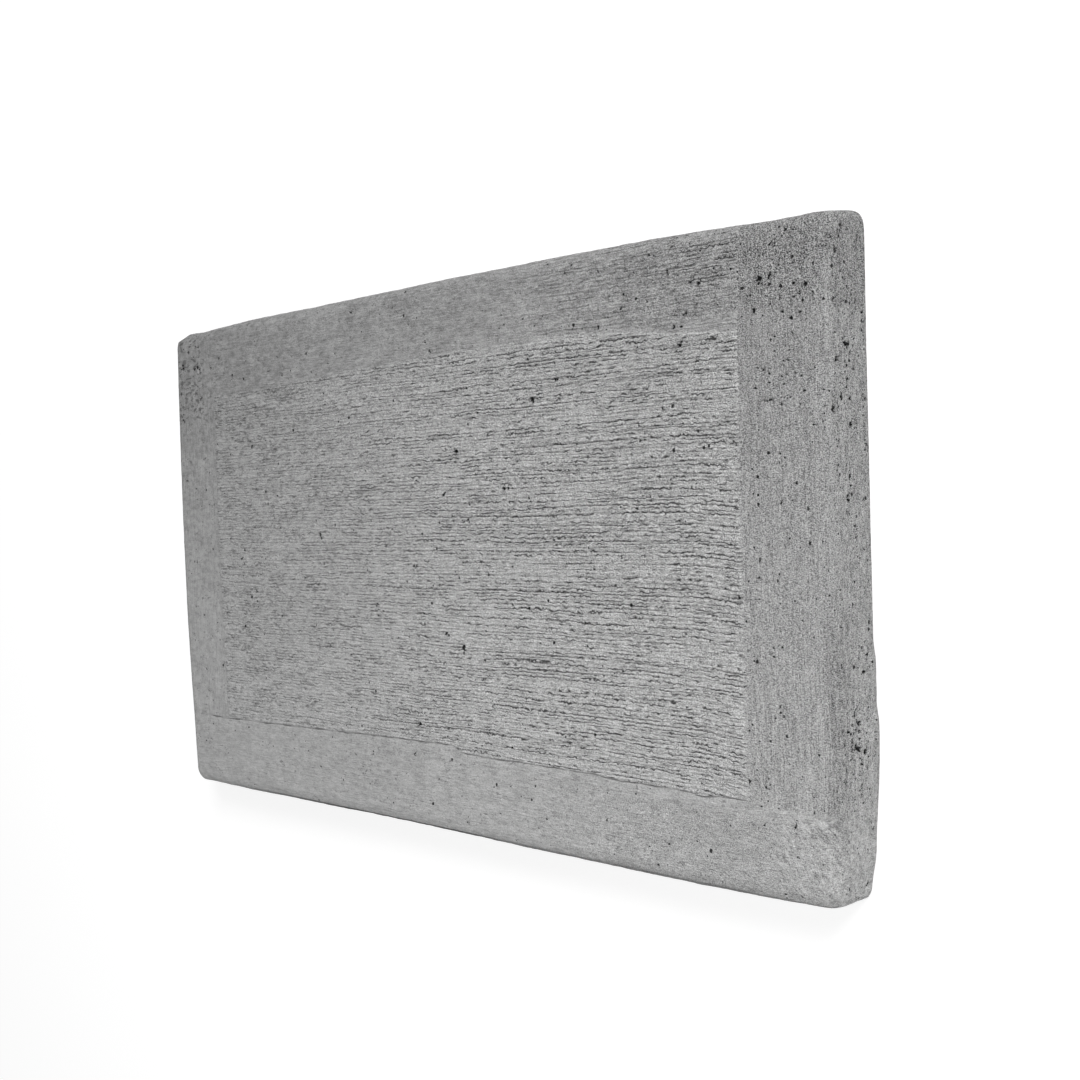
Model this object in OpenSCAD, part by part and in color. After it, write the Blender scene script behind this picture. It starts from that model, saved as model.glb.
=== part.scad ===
/* [Slab] */
// Length of the slab along X, over all
slab_length = 600; // [300:5:900]
// Width of the slab along Y, over all
slab_width = 400; // [250:5:600]
// Thickness from the underside to the top of the broomed panel
slab_thickness = 40; // [35:1:80]
// Radius of the upright corners in plan, round the top
corner_radius = 13; // [13:0.5:25]
// Radius that the edging tool leaves round the top edge
arris_radius = 12; // [2:0.5:12]
// Degrees by which the walls lean in towards the top, so that the slab leaves its mould
wall_lean = 11; // [0:0.5:12]
// Chamfer that the mould leaves round the bottom edge
foot_chamfer = 1.5; // [0.5:0.5:4]

/* [Finished face] */
// Width of the smooth trowelled border, measured in from the foot of the walls
border_width = 62; // [35:1:80]
// Height of the broomed panel above the trowelled border
panel_rise = 0.8; // [0.3:0.1:2]
// Radius of the panel's corners in plan
panel_corner = 3; // [1:0.5:10]

/* [Hidden] */

concrete = [0.60, 0.60, 0.60];
$fn = 96;
// The border is the top of the cast block; the panel stands on it
border_top = slab_thickness - panel_rise;
// Level of the arris round's centre, and how far it lies in from the foot
arris_z = border_top - arris_radius;
arris_in = (arris_z - foot_chamfer) * tan(wall_lean) + arris_radius / cos(wall_lean);
// Radius of the upright corners at the foot, and their centres
foot_radius = corner_radius - arris_radius + arris_in;
corner_x = slab_length / 2 - foot_radius;
corner_y = slab_width / 2 - foot_radius;
// Panel of the finished face
panel_length = slab_length - 2 * border_width;
panel_width = slab_width - 2 * border_width;

// Cross-section from a middle line or a corner's centre out to the wall's foot:
// chamfered foot, leaning wall and round arris that meets the wall without a crease
module edge_profile(reach) {
    arris_x = reach - arris_in;
    lean_x = cos(wall_lean);
    lean_z = sin(wall_lean);
    polygon([
        [0, 0],
        [reach - foot_chamfer, 0],
        [reach, foot_chamfer],
        [arris_x + arris_radius * lean_x, arris_z + arris_radius * lean_z],
        [arris_x, arris_z],
        [arris_x, border_top],
        [0, border_top]
    ]);
    translate([arris_x, arris_z])
        intersection() {
            circle(r = arris_radius);
            polygon([
                [0, 0],
                2 * arris_radius * [lean_x, lean_z],
                2 * arris_radius * [1, 1],
                2 * arris_radius * [0, 1]
            ]);
        }
}

// Slab section with both edges, run along one axis between the corners
module slab_run(half, run) {
    rotate([90, 0, 0])
        linear_extrude(height = run, center = true)
            union() {
                edge_profile(half);
                mirror([1, 0]) edge_profile(half);
            }
}

// The cast block up to the level of the trowelled border
module cast_block() {
    slab_run(slab_length / 2, 2 * corner_y);
    rotate([0, 0, 90]) slab_run(slab_width / 2, 2 * corner_x);
    for (x = [-corner_x, corner_x], y = [-corner_y, corner_y])
        translate([x, y, 0])
            rotate_extrude() edge_profile(foot_radius);
}

// Broomed panel, left standing a little above the border
module broomed_panel() {
    pad_x = panel_length / 2 - panel_corner;
    pad_y = panel_width / 2 - panel_corner;
    translate([0, 0, border_top - 1])
        linear_extrude(height = panel_rise + 1) {
            square([panel_length, 2 * pad_y], center = true);
            square([2 * pad_x, panel_width], center = true);
            for (x = [-pad_x, pad_x], y = [-pad_y, pad_y])
                translate([x, y]) circle(r = panel_corner);
        }
}

module slab() {
    color(concrete) union() {
        cast_block();
        broomed_panel();
    }
}

slab();
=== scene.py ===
import math
import random
from bisect import bisect_left

import bmesh
import bpy
from mathutils import Euler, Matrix, Vector, kdtree, noise


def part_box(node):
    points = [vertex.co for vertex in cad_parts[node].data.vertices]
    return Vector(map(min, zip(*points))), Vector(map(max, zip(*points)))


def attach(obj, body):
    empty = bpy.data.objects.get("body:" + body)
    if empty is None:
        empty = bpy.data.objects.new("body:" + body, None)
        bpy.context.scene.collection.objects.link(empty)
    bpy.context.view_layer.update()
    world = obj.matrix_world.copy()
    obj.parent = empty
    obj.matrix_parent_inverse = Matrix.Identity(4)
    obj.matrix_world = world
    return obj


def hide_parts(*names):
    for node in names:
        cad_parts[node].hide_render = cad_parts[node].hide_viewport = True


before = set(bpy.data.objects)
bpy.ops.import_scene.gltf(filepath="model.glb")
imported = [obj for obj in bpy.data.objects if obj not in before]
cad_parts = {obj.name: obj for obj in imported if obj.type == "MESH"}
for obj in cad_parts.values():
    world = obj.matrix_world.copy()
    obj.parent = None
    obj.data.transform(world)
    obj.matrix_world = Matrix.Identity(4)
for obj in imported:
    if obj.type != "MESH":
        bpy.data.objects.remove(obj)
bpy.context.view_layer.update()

# ---- The slab: its block ---------------------------------------------------
# One piece of concrete, cast with its good face up in a mould whose sides lean, so
# that it lets go. The mould leaves plain walls and a flat underside, and an edging
# trowel rounds the top edge. The mesh is worked in millimetres, then scaled.
MM = 0.001
slab_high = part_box("slab")[1]
half_length = slab_high.x / MM
half_width = slab_high.y / MM
panel_rise = 0.8
face_level = slab_high.z / MM - panel_rise
border = 62.0
panel_x = half_length - border
panel_y = half_width - border
arris_radius = 12.0
corner_radius = 13.0
corner_core = corner_radius - arris_radius
foot_chamfer = 1.5
lean = math.radians(11)
arris_z = face_level - arris_radius
arris_in = (arris_z - foot_chamfer) * math.tan(lean) + arris_radius / math.cos(lean)
wall_top = arris_z + arris_radius * math.sin(lean)
foot_radius = corner_core + arris_in
# How square each corner is in plan near its foot: 2 is a round corner
corner_power = {(1, 1): 3.6, (1, -1): 5.0, (-1, -1): 6.0, (-1, 1): 8.0}

# A flat sheet, with close rows across the broom's strokes and longer steps along them
step_x = 1.7
panel_row = 0.46
border_row = 1.24
border_rows = round(border / border_row)
rows = round(2 * panel_y / panel_row) + 2 * border_rows
block = bmesh.new()
bmesh.ops.create_grid(block, x_segments=round(2 * half_length / step_x), y_segments=rows, size=1.0)


def row_place(t):
    """Where the sheet's row at t, from -1 to 1, lies across the slab."""
    row = (t + 1) / 2 * rows
    if row < border_rows:
        return row * border_row - half_width
    if row > rows - border_rows:
        return half_width - (rows - row) * border_row
    return (row - border_rows) * panel_row - panel_y


for vert in block.verts:
    vert.co = (vert.co.x * half_length, row_place(vert.co.y), face_level)

# The sheet's rim is drawn down in steps to make the walls, and closed underneath
wall_steps = 32
for step in range(wall_steps):
    rim = [edge for edge in block.edges if edge.is_boundary]
    drawn = bmesh.ops.extrude_edge_only(block, edges=rim)["geom"]
    skirt = [part for part in drawn if isinstance(part, bmesh.types.BMVert)]
    bmesh.ops.translate(block, verts=skirt, vec=(0, 0, -face_level / wall_steps))
rim = [edge for edge in block.edges if edge.is_boundary]
bmesh.ops.contextual_create(block, geom=rim)


def ramp(low, high, value):
    """0 below low and 1 above high, with smooth ends."""
    t = min(max((value - low) / (high - low), 0.0), 1.0)
    return t * t * (3 - 2 * t)


def profile(out, z):
    """Where a point of the upright wall or flat top goes on the real cross-section."""
    if z <= arris_z:
        z *= wall_top / arris_z
        out = arris_in - (max(z, foot_chamfer) - foot_chamfer) * math.tan(lean)
        return out - max(foot_chamfer - z, 0), z
    if out <= 0:
        return out, z
    turn = math.atan2((z - arris_z) / arris_radius, out / arris_in)
    turn = lean + turn * (1 - lean / math.radians(90))
    return arris_radius * math.cos(turn), arris_z + arris_radius * math.sin(turn)


def shaped(place):
    """A point of the upright block, moved to the leaning wall, arris or corner."""
    x, y, z = place
    along = abs(x) - half_length + foot_radius
    across = abs(y) - half_width + foot_radius
    reach = max(along, across)
    if reach <= 0:
        return place
    out, z = profile(reach - corner_core, z)
    if min(along, across) > 0:
        # Round at the top and squarer below
        side = (1 if x > 0 else -1, 1 if y > 0 else -1)
        power = 2 + (corner_power[side] - 2) * ramp(38, 20, z)
        pull = (out + corner_core) / (along ** power + across ** power) ** (1 / power)
        along *= pull
        across *= pull
    elif along > across:
        along = out + corner_core
    else:
        across = out + corner_core
    x = math.copysign(half_length - foot_radius + along, x)
    y = math.copysign(half_width - foot_radius + across, y)
    return Vector((x, y, z))


for vert in block.verts:
    vert.co = shaped(vert.co)
bmesh.ops.recalc_face_normals(block, faces=block.faces)
block.normal_update()


def wave(x, y, z, seed):
    """Smooth noise of about -0.7 to 0.7, different for each seed."""
    return noise.noise(Vector((x, y, z + 17.3 * seed)))


def bump_at(value, width):
    """1 where value is 0, falling smoothly to 0 over about twice the width."""
    return math.exp(-(value / width) ** 2)


# ---- The slab: its finish --------------------------------------------------
# The whole top was broomed along its length, then a trowel was drawn round the
# four edges. It presses its border below the panel and leaves a burr or a crease.
chance = random.Random(7)
furrow_gap = (2.2, 5.4)
furrows = []
place = -panel_y - 8.0
while place < half_width:
    place += chance.uniform(*furrow_gap)
    furrows.append((place, 0.4 + 0.6 * chance.random() ** 1.3))
furrow_places = [place for place, strength in furrows]


def drift(x, y):
    """How far the broom had strayed across the slab at a place."""
    stray = 0.012 * max(x - 90, 0) * ramp(30, -110, y) + 0.10 * max(x - 212, 0) * ramp(115, 20, y)
    return stray + 1.1 * wave(x / 70, y / 50, 0, 10)


def furrow(x, y, reach):
    """How deep, from 0 to 1, the broom's bristles cut at a place."""
    y += drift(x, y) + 0.5 * wave(x / 9, y / 5, 0, 11) + 0.4 * wave(x / 3.2, y / 2.4, 0, 12)
    patch = 0.7 * wave(x / 32, y / 12, 0, 13)
    near = bisect_left(furrow_places, y)
    deep = 0.0
    for index in (near - 1, near):
        if not 0 <= index < len(furrows):
            continue
        centre, strength = furrows[index]
        centre += 0.6 * wave(x / 20, index * 7.1, 0, 14) + 0.8 * wave(x / 6, index * 7.1, 0, 15)
        width = 0.48 + 0.25 * strength + 0.45 * wave(x / 4, index * 7.1, 0, 16)
        gap = abs(y - centre) / width
        if gap < 1:
            here = patch + 0.8 * wave(x / 18, index * 3.7, 0, 17)
            here += 0.9 * wave(x / 4.5, index * 3.7, 0, 18)
            here += 0.8 * (strength - 0.65) + 0.25 * reach
            deep = max(deep, strength * ramp(-0.20, 0.25, here) * (1 - gap * gap))
    return deep


def inside_lines(x, y):
    """Distance inside each of the panel's lines: left, right, bottom and top."""
    left = panel_x - 1.2 + 0.9 * wave(y / 60, 0, 0, 21) + 0.8 * wave(y / 12, 0, 0, 22)
    right = panel_x + 1.1 + 2.0 * ramp(60, 190, y) + 0.6 * wave(y / 25, 0, 0, 23)
    right += 0.6 * wave(y / 5, 0, 0, 24)
    bottom = panel_y - 4.3 - 4.9 * ramp(-240, 20, x) * ramp(24, 12, x)
    bottom += 1.9 * ramp(126, 152, x) + 1.8 * bump_at(x - 210, 7)
    bottom += 0.5 * wave(x / 25, 0, 0, 25) + 0.5 * wave(x / 5, 0, 0, 26)
    top = panel_y - 2.2 + 6.0 * ramp(-230, 60, x) - 9.0 * ramp(125, 245, x)
    top += 0.9 * wave(x / 22, 0, 0, 27) + 0.4 * wave(x / 5, 0, 0, 28)
    return x + left, right - x, y + bottom, top - y


def finish(x, y):
    """Height of the finished face, depth of cut, share of panel and share of broom marks."""
    left, right, bottom, top = inside_lines(x, y)
    broomed = ramp(-0.5, 0.8, min(left + 1.5 * wave(x / 4, y / 2, 0, 29), right, bottom, top))
    height = 0.20 * wave(x / 110, y / 90, 0, 31) + 0.10 * wave(x / 7, y / 7, 0, 32)
    height += panel_rise * 0.75 * broomed
    cut = 0.0
    # Broom marks that the trowel left by the right line, above the panel
    stray = 0.40 * ramp(0, 150, x) + 0.50 * ramp(185, 228, x) * ramp(148, 165, y)
    stray *= ramp(-1, 1, right) * ramp(0, 5, -top)
    share = max(broomed, stray)
    if share > 0:
        reach = ramp(-90, 120, x)
        cut = furrow(x, y, reach) * share
        height -= (0.38 + 0.57 * reach) * cut
        height += 0.26 * share * wave(x / 3, y / 1.4, 0, 33)
        cut *= 0.55 + 0.25 * reach
    # Burrs along the right and top lines
    burr = bump_at(right - 1.2, 0.9) * ramp(-0.5, 1.5, bottom) * (0.6 + 0.7 * wave(y / 8, 0, 0, 35))
    ledge = bump_at(top - 0.9, 0.8) * ramp(-40, 10, x) * ramp(-0.5, 1, right)
    height += 0.30 * max(burr, 0) + 0.40 * ledge * (0.7 + 0.6 * wave(x / 11, 0, 0, 36))
    height += 0.25 * ramp(-1, 1, right) * ramp(1, -1, top)
    # Crease that the last pass of the trowel cut along the lower line
    crease = bump_at(bottom + 0.3, 0.6) * ramp(-282, -262, x) * ramp(-1, 1, right)
    crease *= 0.75 + 0.7 * wave(x / 13, 0, 0, 37)
    crease *= 1 - 0.8 * ramp(8, 14, x) * ramp(26, 20, x)
    height -= 0.70 * crease
    return height, max(cut, crease), broomed, share


# ---- The slab: its edges ---------------------------------------------------
# The mould bulged, and the slab was handled green, so its outline is not quite
# straight. The edging trowel left a lip and a valley along the arris at +X.
# How far each corner was pushed out along its diagonal, and the part of that along a side
corner_growth = {(1, 1): 0.3, (1, -1): -0.9, (-1, -1): 0.8, (-1, 1): 4.4}
diagonal_part = 0.71
# Flat that was knocked off one corner: a place on it and the way that it faces
knock_place = Vector((-284.5, 187.9, 34.0))
knock_way = Vector((-0.237, 0.802, 0.548)).normalized()


def edging(x, y):
    """How far the edging trowel raised the arris at +X, or pressed it if below 0."""
    inset = half_length - x
    raised = 0.40 * bump_at(inset - 8.6, 0.8) * ramp(115, 130, y) * ramp(172, 158, y)
    raised -= 0.80 * bump_at(inset - 10.0, 3.2) * ramp(-186, -150, y) * ramp(10, -50, y)
    raised -= 0.35 * bump_at(inset - 5.4, 0.7) * ramp(30, 50, y) * ramp(110, 85, y)
    return raised


def spread(x, y, z):
    """Sideways push that bends the drawn outline to the cast one."""
    u = x / half_length
    v = y / half_width
    push = Vector((0.0, 0.0, 0.0))
    if v > 0:
        # The +Y side bows out at its middle, with two shallow dents and a fall at one end
        push.y += 4.3 * (1 / 3 - u * u) * v
        dent = bump_at(x + 65, 80) + bump_at(x - 258, 27) + 1.1 * ramp(-236, -272, x)
        push.y -= dent * ramp(150, 190, y)
    else:
        # The -Y side draws in at its +X end, and a little at its middle
        push.y += (1.9 + 2.4 * ramp(28, 2, z)) * ramp(215, 288, x) * -v
        push.y += (0.85 * bump_at(x + 30, 110) + 0.25) * ramp(-150, -190, y)
    if u < 0:
        # The -X end bows out at its middle
        push.x += 5.2 * (1 / 3 - v * v) * u
        push.x += (0.6 + 0.9 * ramp(-80, -150, y)) * ramp(-262, -292, x)
    else:
        # The +X end bulges low down, and draws in again by the -Y corner
        push.x += 0.8 * ramp(30, 4, z) * u
        swell = 0.5 * ramp(-42, -60, y) + 0.5 * ramp(-80, -96, y) - 1.45 * ramp(-100, -186, y)
        push.x += 2.6 * swell * ramp(30, 4, z) * ramp(0.9, 1, u) - 2.0 * ramp(-168, -192, y) * u
    side = (1 if x > 0 else -1, 1 if y > 0 else -1)
    gap = math.hypot(half_length - abs(x), half_width - abs(y))
    grow = corner_growth[side] * bump_at(gap - 5, 11) * diagonal_part
    push.x += grow * side[0]
    push.y += grow * side[1]
    return push


hollow = block.verts.layers.float.new("hollow")
pit = block.verts.layers.float.new("pit")
panel_share = block.verts.layers.float.new("panel")
broom_share = block.verts.layers.float.new("broomed")
broom_drift = block.verts.layers.float.new("drift")
for vert in block.verts:
    x, y, z = vert.co
    up = vert.normal.z
    flat = ramp(0.6, 0.98, up)
    if flat > 0:
        height, cut, vert[panel_share], vert[broom_share] = finish(x, y)
        vert.co.z += height * flat
        vert[hollow] = cut * flat
        vert[broom_drift] = drift(x, y)
    if flat < 1 and up > -0.5:
        out = 0.50 * wave(x / 50, y / 50, z / 20, 41) + 0.30 * wave(x / 11, y / 11, z / 9, 42)
        out += 0.18 * wave(x / 2.6, y / 2.6, z / 2.6, 43)
        vert.co += vert.normal * out * (1 - flat) * ramp(0, 3, z)
    if up > 0.1 and x > half_length - 20:
        vert.co += vert.normal * edging(x, y)
    vert.co += spread(x, y, z)
    over = (vert.co - knock_place).dot(knock_way)
    if over > 0:
        vert.co -= knock_way * (over + 0.3 * wave(x / 4, y / 4, z / 4, 44) * min(over, 1))

# ---- The slab: its air holes -----------------------------------------------
# Bubbles that met the mould or the trowelled paste left open holes. They are strewn
# at random in clumps, zone by zone, the larger ones first, on a mesh cut finer there.
top = face_level
clump_width = 28
# Radii from a hole's centre to where its painted shade has faded out
pit_reach = 1.6
holes = []


def clumping(spot):
    """Noise that is high where the air holes clump together."""
    return wave(spot.x / clump_width, spot.y / clump_width, spot.z / clump_width, 52)


def scatter(number, low, high, sizes, clumps=0.3, skew=3):
    """Air holes over a box's surface, thicker in clumps; a higher skew makes more small."""
    made = 0
    while made < number:
        spot = Vector([chance.uniform(a, b) for a, b in zip(low, high)])
        if chance.random() > ramp(-clumps, 0.5, clumping(spot)):
            continue
        radius = sizes[0] + (sizes[1] - sizes[0]) * chance.random() ** skew
        holes.append((spot.x, spot.y, spot.z, radius))
        if chance.random() < 0.4:
            turn = chance.uniform(0, math.tau)
            away = radius * chance.uniform(1.2, 2.0)
            beside = spot + away * Vector((math.cos(turn), math.sin(turn), 0))
            holes.append((beside.x, beside.y, beside.z, radius * 0.7))
        made += 1


# Larger holes: two corners, the strips by the panel, the panel and the wall at +X
scatter(8, (panel_x, 125, top), (286, 186, top), (0.8, 1.5), 0.5, 1)
scatter(4, (-286, 130, top), (-250, 165, top), (1.2, 2.0), 0.5, 1)
scatter(5, (190, 120, top), (panel_x, 180, top), (0.8, 1.4), 0.5, 1)
scatter(7, (panel_x, -130, top), (286, 110, top), (0.7, 1.1), 0.5, 1)
scatter(9, (-170, -120, top), (100, 120, top), (1.1, 1.9), 0.5, 1)
scatter(6, (half_length - 4, 65, 16), (half_length - 4, 150, 36), (1.2, 2.0), 0.5, 1)
scatter(3, (half_length - 1, -110, 8), (half_length - 1, -60, 34), (1.1, 2.0), 0.5, 1)
# The ordinary ones
scatter(34, (-275, panel_y + 6, top), (275, 186, top), (0.6, 1.0))
scatter(20, (150, panel_y, top), (282, 186, top), (0.6, 1.1))
scatter(8, (-287, 105, top), (-240, 184, top), (1.0, 1.8))
scatter(26, (-280, -188, top), (280, -panel_y, top), (0.5, 0.9))
scatter(16, (panel_x + 4, -140, top), (286, 188, top), (0.45, 0.8))
scatter(30, (panel_x + 4, 60, top), (288, 188, top), (0.45, 0.8), 0.1)
scatter(10, (-284, -140, top), (-panel_x, 100, top), (0.8, 1.2))
scatter(50, (-panel_x, -panel_y, top), (panel_x, panel_y, top), (0.6, 1.3))
scatter(26, (half_length, -115, 4), (half_length, -40, 30), (0.6, 1.1), 0.2)
for side in (-1, 1):
    scatter(40, (side * half_length, -185, 2), (side * half_length, 190, 32), (0.6, 1.5), 0.1)
    scatter(50, (-285, side * half_width, 2), (285, side * half_width, 32), (0.6, 1.5), 0.1)


def place_tree():
    """The mesh's points, ready to be looked up by place."""
    tree = kdtree.KDTree(len(block.verts))
    block.verts.ensure_lookup_table()
    for index, vert in enumerate(block.verts):
        tree.insert(vert.co, index)
    tree.balance()
    return tree


tree = place_tree()
holes = [(tree.find((x, y, z))[0], radius) for x, y, z, radius in holes]
near_hole = set()
for centre, radius in holes:
    near_hole.update(index for co, index, gap in tree.find_range(centre, radius * 1.5 + 0.9))
finer = [edge for edge in block.edges if all(vert.index in near_hole for vert in edge.verts)]
bmesh.ops.subdivide_edges(block, edges=finer, cuts=2, use_grid_fill=True)

block.normal_update()
tree = place_tree()
normals = [vert.normal.copy() for vert in block.verts]
for centre, radius in holes:
    turn = chance.uniform(0, 100)
    long = chance.uniform(0.7, 1.4)
    depth = radius * chance.uniform(0.8, 1.3)
    for co, index, gap in tree.find_range(centre, radius * 2.4):
        away = co - centre
        away.y /= long
        ragged = wave(1.2 * co.x / radius, 1.2 * co.y / radius, 1.2 * co.z / radius + turn, 51)
        ragged = 1 + 0.9 * ragged
        part = away.length / (radius * ragged)
        vert = block.verts[index]
        vert.co -= normals[index] * depth * (1 - ramp(0.55, 1.0, part))
        vert[pit] = max(vert[pit], 1 - part / pit_reach)

for face in block.faces:
    face.smooth = len(face.verts) == 4
bmesh.ops.scale(block, vec=(MM, MM, MM), verts=block.verts)
slab_mesh = bpy.data.meshes.new("paving_slab")
block.to_mesh(slab_mesh)
block.free()
slab = bpy.data.objects.new("paving_slab", slab_mesh)
bpy.context.scene.collection.objects.link(slab)

# The mesh is thinned where the surface is plain, to under 200,000 triangles
kept_share = 0.28
thin = slab.modifiers.new("thin", "DECIMATE")
thin.ratio = kept_share
seen = slab.evaluated_get(bpy.context.evaluated_depsgraph_get())
slab.data = bpy.data.meshes.new_from_object(seen)
slab.modifiers.clear()

# ---- The slab: its concrete ------------------------------------------------
# Grey cement paste with fine sand. It is lighter where the paste is rich, darker towards
# -X and +Y, and brushed along each border strip. Painted shade darkens every hollow and the
# lower edge, and painted highlights lie on the lip, the burr and the ledge, and between the broom's lines.


class Tone:
    """A value or vector in the concrete's nodes. Sums and products add Math nodes."""

    def __init__(self, tree, socket=None):
        self.tree = tree
        self.socket = socket

    def add(self, kind, settings, inputs, output=0):
        """A new node of a kind: its settings are made first, then its inputs."""
        node = self.tree.nodes.new(kind)
        for name, value in settings.items():
            setattr(node, name, value)
        for name, value in inputs.items():
            if isinstance(value, Tone):
                self.tree.links.new(value.socket, node.inputs[name])
            else:
                node.inputs[name].default_value = value
        return Tone(self.tree, node.outputs[output])

    def math(self, operation, *values):
        """A Math node on these values."""
        return self.add("ShaderNodeMath", {"operation": operation}, dict(enumerate(values)))

    def __add__(self, other):
        return self.math("ADD", self, other)

    def __radd__(self, other):
        return self.math("ADD", other, self)

    def __sub__(self, other):
        return self.math("SUBTRACT", self, other)

    def __rsub__(self, other):
        return self.math("SUBTRACT", other, self)

    def __mul__(self, other):
        return self.math("MULTIPLY", self, other)

    def __rmul__(self, other):
        return self.math("MULTIPLY", other, self)

    def between(self, low, high):
        """0 where this is below low and 1 above high, with smooth ends."""
        inputs = {0: self, 1: low, 2: high, 3: 0.0, 4: 1.0}
        return self.add("ShaderNodeMapRange", {"interpolation_type": "SMOOTHSTEP"}, inputs)

    def parts(self):
        """The x, y and z of this vector."""
        node = self.add("ShaderNodeSeparateXYZ", {}, {0: self}).socket.node
        return [Tone(self.tree, output) for output in node.outputs]

    def vector(self, x, y, z):
        """A vector of three values."""
        return self.add("ShaderNodeCombineXYZ", {}, {0: x, 1: y, 2: z})

    def stretched(self, x, y, z):
        """This vector with its parts divided by the lengths x, y and z."""
        scale = {0: self, 1: (1 / x, 1 / y, 1 / z)}
        return self.add("ShaderNodeVectorMath", {"operation": "MULTIPLY"}, scale)

    def grain(self, detail=2.0, rough=0.5):
        """Noise on this vector, from about -1 to 1."""
        inputs = {"Vector": self, "Scale": 1.0, "Detail": detail, "Roughness": rough}
        return self.add("ShaderNodeTexNoise", {}, inputs) * 2 - 1

    def pores(self, share, ragged):
        """1 in the small holes that a share of this vector's unit cells have."""
        gap = self.add("ShaderNodeTexVoronoi", {"feature": "F1"}, {"Vector": self, "Scale": 1.0})
        number = Tone(self.tree, gap.socket.node.outputs["Color"]).parts()[0]
        size = number.between(1 - share, 1.0) * 0.34
        return (size - gap - ragged * 0.15).between(0.0, 0.05)


concrete = bpy.data.materials.new("concrete")
concrete.use_nodes = True
nodes = concrete.node_tree
start = Tone(nodes)
place = start.add("ShaderNodeTexCoord", {}, {}, "Object").stretched(MM, MM, MM)
along, across, height = place.parts()
cut = start.add("ShaderNodeAttribute", {"attribute_name": "hollow"}, {}, "Fac")
panel = start.add("ShaderNodeAttribute", {"attribute_name": "panel"}, {}, "Fac")
broomed = start.add("ShaderNodeAttribute", {"attribute_name": "broomed"}, {}, "Fac")
pitting = start.add("ShaderNodeAttribute", {"attribute_name": "pit"}, {}, "Fac")
strayed = start.add("ShaderNodeAttribute", {"attribute_name": "drift"}, {}, "Fac")

# Parts of the surface: cast walls and strips of the border, how crisp the finish is and
# how far towards +X a place lies
cast = 1 - height.between(30.0, 36.0)
right_strip = along.between(panel_x + 1, panel_x + 3) * across.between(-panel_y - 3, -panel_y + 3)
left_strip = (1 - along.between(-panel_x - 1, -panel_x + 1)) * across.between(-panel_y, -panel_y + 4)
end_strip = right_strip + left_strip
top_strip = across.between(panel_y, panel_y + 8) * along.between(40.0, 220.0)
crisp = 0.40 + 0.60 * along.between(-330.0, 230.0)
far = along.between(-260.0, 120.0)

# Marks: painted shade along the lower edge, a painted highlight on the trowel's lip, the rich
# and the worn corner, the combed end of the right strip, the coarse end of the lower strip, and
# painted highlights on the burr by the panel's right line and on the ledge along its top line
lower_edge_shade = (1 - across.between(-190.9, -189.3)) * along.between(-300.0, -90.0)
lower_edge_shade = lower_edge_shade * (1 - along.between(20.0, 60.0) * 0.45) * height.between(28.5, 31.0)
lip_highlight = along.between(290.0, 291.4) * (1 - along.between(291.8, 293.4))
lip_highlight = lip_highlight * across.between(112.0, 122.0) * (1 - across.between(165.0, 175.0))
rich = along.between(248.0, 262.0) * (1 - across.between(-144.0, -134.0))
worn = (1 - along.between(-262.0, -222.0)) * across.between(95.0, 125.0)
combed = right_strip * (1 - across.between(-85.0, -50.0))
near_foot = along.between(60.0, 200.0) * (1 - across.between(-150.0, -140.0))
burr_highlight = along.between(239.6, 240.6) * (1 - along.between(241.6, 242.8)) * across.between(132.0, 146.0)
# Painted highlight along the ledge at the panel's top line
ledge = panel * (1 - panel) * 4 * along.between(20.0, 90.0) * across.between(60.0, 110.0)

# How coarse the grain is
rough = 0.50 + 0.50 * right_strip + 0.55 * panel + 0.50 * cast + 0.30 * top_strip
rough = rough + 0.35 * near_foot * (1 - cast) + 0.15 * panel * far

# Sand grains, cloudy paste and the brush's streaks
sand = place.stretched(0.70, 0.60, 0.60).grain(1.0, 0.6)
coarse = place.stretched(2.0, 1.5, 1.5).grain(2.0, 0.6)
cloud = place.stretched(5.0, 3.4, 3.4).grain(1.0, 0.5)
mottle = place.stretched(16, 12, 12).grain(3.0, 0.6)
blotch = place.stretched(120, 80, 80).grain(2.0, 0.5)
sway = place.stretched(7, 7, 7).grain(1.0)
lengthwise = start.vector(along * (1 / 12), (across + sway * 1.2) * (1 / 0.8), height * 0.5).grain(2.0, 0.7)
endwise = start.vector((along + sway * 0.8) * (1 / 0.7), across * (1 / 14), height * 0.5).grain(2.0, 0.6)
brushed = lengthwise + (endwise - lengthwise) * end_strip

# The broom's scratches: lines at an uneven pitch that bit in places, and finer ones. Their dark,
# and that of the cuts and crease in the border, is painted shade
crinkle = place.stretched(2.2, 3.4, 3.4).grain(1.0, 0.6)
lane = across + strayed + sway * 0.8 + coarse * 0.45 + crinkle * 1.2 + sand * 0.30
turns = lane * (1 / 2.35) + start.vector(along * (1 / 80), across * (1 / 6), 2.5).grain(2.0, 0.6) * 1.1
gap = turns.math("PINGPONG", turns, 0.5)
bristle = turns.math("FLOOR", turns + 0.5)
strength = start.add("ShaderNodeTexWhiteNoise", {"noise_dimensions": "1D"}, {"W": bristle})
patch = start.vector(along * (1 / 24), lane * (1 / 8), 4.5).grain(1.0)
bite = start.vector(along * (1 / 4.6), lane * (1 / 2.2), 7.5).grain(0.0) * 1.2 + patch * 0.7
bite = bite + sand * 0.7 + (strength * 0.8 - 0.25) * far + cut * 0.4
scored = (0.16 - gap + sand * 0.05).between(0.0, 0.08) * bite.between(0.12, 0.45) * broomed
dash = start.vector(along * (1 / 3.4), lane * (1 / 1.15), 9.5).grain(0.0)
tuft = start.vector(along * (1 / 6), lane * (1 / 2.3), 5.5).grain(1.0).between(0.12, 0.50)
shaded_dash = (dash + patch * 0.5 + sand * 0.5).between(0.30, 0.60) * broomed
border_cut_shade = (cut + sand * 0.45).between(0.45, 0.70) * (1 - broomed)
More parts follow.
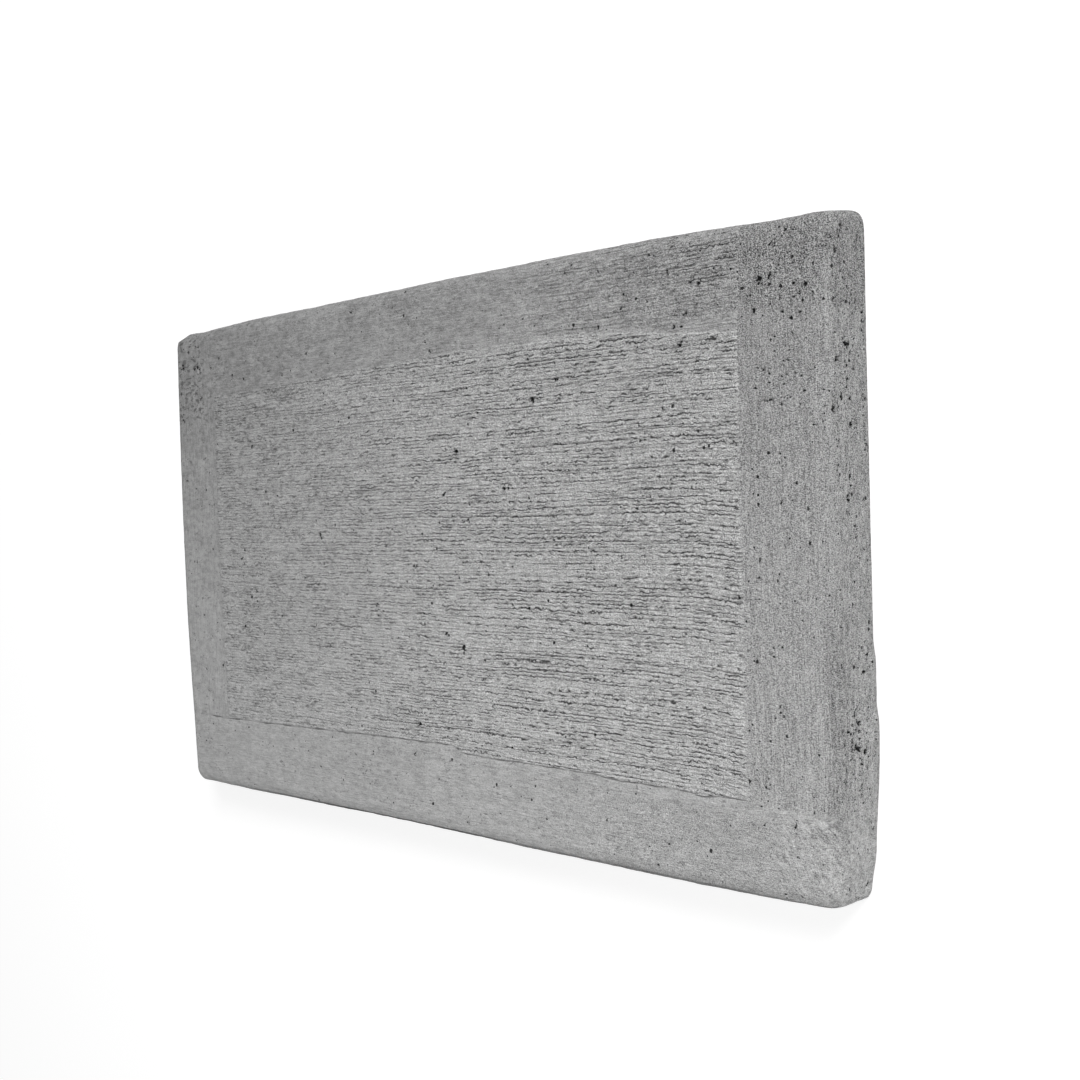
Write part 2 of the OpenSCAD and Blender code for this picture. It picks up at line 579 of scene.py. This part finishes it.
stain = (cloud + coarse * 0.5).between(0.35, 0.75)
freckle = (place.stretched(2.8, 1.6, 1.6).grain(1.0) + mottle * 0.5).between(0.30, 0.62)
smudge = (place.stretched(4.2, 2.4, 2.4).grain(1.0, 0.6) + worn * 0.18).between(0.24, 0.46) * worn
smear = start.vector(along * 0.3, across * (1 / 6), height * (1 / 2.4)).grain(2.0, 0.6)
slant = start.vector((along + across * 0.7) * (1 / 2.0), (along - across) * (1 / 9), height * 0.2)
slant = slant.grain(1.0)

# Small pores and specks, too fine for the mesh, and the trowel's valley; the pores and the valley get
# painted shade
clump = (mottle + 0.4).between(0.0, 0.9)
share = (0.06 + (0.12 + 0.12 * across.between(40.0, 120.0)) * right_strip + 0.30 * cast
         + 0.10 * top_strip) * clump
pore = place.stretched(2.1, 2.1, 2.1).pores(share * 1.3, coarse + sand)
pore = pore.math("MAXIMUM", pore, place.stretched(3.3, 3.9, 3.3).pores(share * 0.9, coarse + sand))
speck = place.stretched(1.3, 1.1, 1.1).pores(0.40, sand) * rough * crisp
valley_shade = along.between(284.0, 290.0) * (1 - along.between(292.0, 298.0))
valley_shade = valley_shade * (1 - across.between(-60.0, 0.0)) * across.between(-175.0, -140.0)

# The paste's tone: what lightens or darkens it is added, and then painted shade darkens the hollows
plain_tone = 0.455
gradient = along * 0.00010 - across * 0.00054 - 0.012 * (1 - far)
grit = (sand * (0.80 - 0.06 * right_strip) + coarse * (0.26 - 0.14 * right_strip)) * rough * crisp
tone = plain_tone + grit + cloud * (0.15 - 0.09 * right_strip - 0.02 * panel)
tone = tone + mottle * (0.10 - 0.06 * right_strip - 0.02 * panel) + blotch * 0.05
tone = tone + brushed * (0.06 + 0.20 * crisp + 0.10 * combed)
# Darker towards -X and +Y, lighter over the panel, darker on the top strip, and painted shade in the
# trowel's valley
tone = tone + gradient + panel * (0.044 + far * 0.085) - top_strip * 0.02 - valley_shade * 0.15
# Lighter on the ridges between the broom's lines and darker in them: painted light and shade
tone = tone + gap * (0.10 + 0.11 * far) * broomed
# Painted highlights on the trowel's lip, the burr and the ledge; the rich corner is lighter paste
tone = tone + lip_highlight * 0.08 + burr_highlight * 0.07 + ledge * 0.09 + rich * (0.02 + slant * 0.32)
tone = tone + cast * (0.070 + smear * 0.30)
# Painted shade: near black in the air holes, dark in the broom's lines and dashes, in the border's cuts and
# crease, in the pores and along the lower edge
hole_shade = (pitting + sand * 0.45 + coarse * 0.35).between(0.42, 0.52) * pitting.between(0.04, 0.20)
tone = tone * (1 - scored * (0.28 + 0.58 * far)) * (1 - shaded_dash * (0.39 - 0.10 * far)) * (1 - border_cut_shade * 0.60)
tone = tone * (1 - hole_shade * 0.985) * (1 - pore * 0.93) * (1 - speck * 0.45) * (1 - stain * 0.12)
tone = tone * (1 - freckle * (0.44 - 0.32 * right_strip - 0.18 * panel))
tone = tone * (1 - smudge * 0.50) * (1 - tuft * broomed * (1 - far) * 0.34) * (1 - lower_edge_shade * 0.80)
dark_paste = (0.006, 0.006, 0.006, 1)
light_paste = (0.765, 0.765, 0.763, 1)
paste = start.add("ShaderNodeMix", {"data_type": "RGBA", "clamp_factor": True},
                  {0: tone, 6: dark_paste, 7: light_paste}, 2)

# Relief that is finer than the mesh
relief = (sand * 0.55 + coarse * 0.40) * rough * crisp + brushed * 0.35
relief = relief + gap * (0.45 + 0.40 * far) * broomed
relief = relief - scored * 0.6 - shaded_dash * 0.3 - pore * 0.8 - speck * 0.3
pitted = start.add("ShaderNodeBump", {}, {"Strength": 1.0, "Distance": MM, "Height": relief}, "Normal")
shader = nodes.nodes["Principled BSDF"]
nodes.links.new(paste.socket, shader.inputs["Base Color"])
nodes.links.new(pitted.socket, shader.inputs["Normal"])
nodes.links.new((0.88 + sand * 0.06).socket, shader.inputs["Roughness"])
shader.inputs["Specular IOR Level"].default_value = 0.3
slab.data.materials.clear()
slab.data.materials.append(concrete)
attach(slab, "root")
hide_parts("slab")

# ---- The floor -------------------------------------------------------------
# A plain pale floor that the camera sees as white, with the slab's soft shadow.
floor_reach = 6.0
floor_bm = bmesh.new()
bmesh.ops.create_grid(floor_bm, x_segments=1, y_segments=1, size=floor_reach)
floor_mesh = bpy.data.meshes.new("floor")
floor_bm.to_mesh(floor_mesh)
floor_bm.free()
floor = bpy.data.objects.new("floor", floor_mesh)
bpy.context.scene.collection.objects.link(floor)
paper = bpy.data.materials.new("paper")
paper.use_nodes = True
paper.node_tree.nodes.clear()
paper_start = Tone(paper.node_tree)
ray = paper_start.add("ShaderNodeLightPath", {}, {}, "Is Camera Ray").socket.node.outputs
seen_white = Tone(paper.node_tree, ray["Is Camera Ray"]) + Tone(paper.node_tree, ray["Is Glossy Ray"])
seen_white = seen_white + Tone(paper.node_tree, ray["Is Transmission Ray"])
matt = paper_start.add("ShaderNodeBsdfDiffuse", {}, {"Color": (0.8, 0.8, 0.8, 1)})
white = paper_start.add("ShaderNodeBsdfDiffuse", {}, {"Color": (1, 1, 1, 1)})
glow = paper_start.add("ShaderNodeEmission", {}, {"Color": (1, 1, 1, 1), "Strength": 1.2})
bright = paper_start.add("ShaderNodeMixShader", {}, {0: 0.55, 1: white, 2: glow})
card = paper_start.add("ShaderNodeMixShader", {}, {0: seen_white, 1: matt, 2: bright})
out = paper.node_tree.nodes.new("ShaderNodeOutputMaterial")
paper.node_tree.links.new(card.socket, out.inputs["Surface"])
floor_mesh.materials.append(paper)


# ---- The lights and the camera ---------------------------------------------
# Plain soft studio light, with the key lamp beyond the slab's +Y side.
def soft_lamp(name, place, target, size, power):
    """A square lamp at a place, turned to a target."""
    data = bpy.data.lights.new(name, "AREA")
    data.size = size
    data.energy = power
    lamp = bpy.data.objects.new(name, data)
    lamp.location = place
    lamp.rotation_euler = (Vector(target) - Vector(place)).to_track_quat("-Z", "Y").to_euler()
    bpy.context.scene.collection.objects.link(lamp)


soft_lamp("key", (0.9, 1.4, 1.3), (0, 0, 0), 0.9, 30)
soft_lamp("fill", (0.7, -0.5, 1.9), (0, 0, 0), 1.6, 14)
world = bpy.data.worlds.new("studio")
world.use_nodes = True
world.node_tree.nodes["Background"].inputs["Color"].default_value = (1, 1, 1, 1)
world.node_tree.nodes["Background"].inputs["Strength"].default_value = 0.35
bpy.context.scene.world = world
bpy.context.scene.view_settings.view_transform = "Standard"

# The camera looks down on the slab from beyond its +X end
eye_turn = (-3.727, 36.812, -2.467)
eye = bpy.data.cameras.new("eye")
eye.lens = 35.61
eye.sensor_width = 36.0
camera = bpy.data.objects.new("camera", eye)
camera.location = (0.51217, 0.04175, 0.59225)
camera.rotation_euler = Euler([math.radians(angle) for angle in eye_turn], "XYZ")
bpy.context.scene.collection.objects.link(camera)
bpy.context.scene.camera = camera
